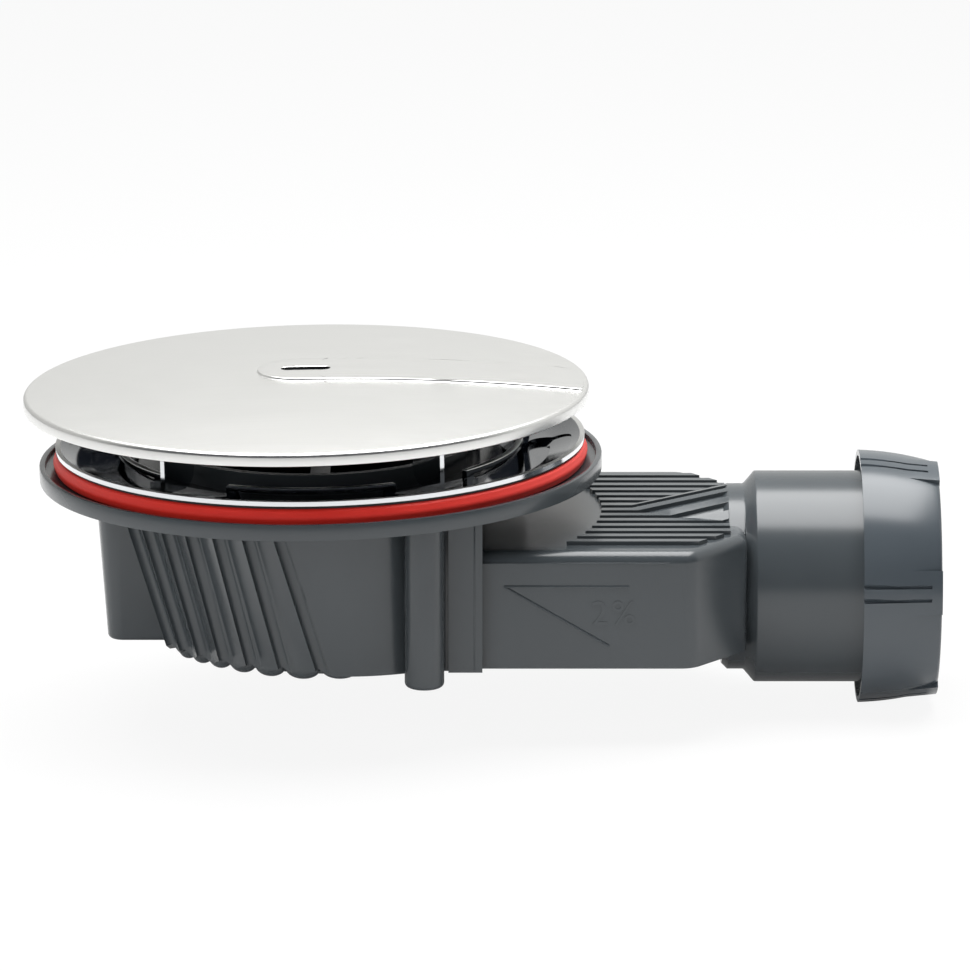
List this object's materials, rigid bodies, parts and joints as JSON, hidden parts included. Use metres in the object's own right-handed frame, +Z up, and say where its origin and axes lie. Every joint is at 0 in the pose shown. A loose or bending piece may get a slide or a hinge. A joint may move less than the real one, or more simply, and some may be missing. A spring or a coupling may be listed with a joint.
{
  "type": "shower trap",
  "caption": "Shower trap with a round fluted bowl, tray seal, clamping collar, lift-out dip tube and raised domed cover, and a ribbed side outlet with a compression nut for the waste pipe.",
  "frame": {"origin": "on the trap's axis at the top of the body flange, where the tray's hole is clamped", "axes": "+Z up along the trap's axis, +X towards the outlet, which falls by 2 % that way"},
  "size_m": [0.1858, 0.115, 0.0718],
  "materials": {
    "grey_plastic": "satin",
    "red_rubber": "satin",
    "black_rubber": "matte",
    "chrome": "polished",
    "steel": "brushed"
  },
  "bodies": {
    "root": {"trap_body": "grey_plastic", "outlet_nut": "grey_plastic", "dip_tube": "grey_plastic", "slip_ring": "grey_plastic", "tray_seal": "red_rubber", "collar_gasket": "black_rubber", "dip_tube_seal": "black_rubber", "outlet_gasket": "black_rubber", "collar": "chrome", "cover_carrier": "chrome", "cover_plate": "steel"}
  },
  "joints": []
}
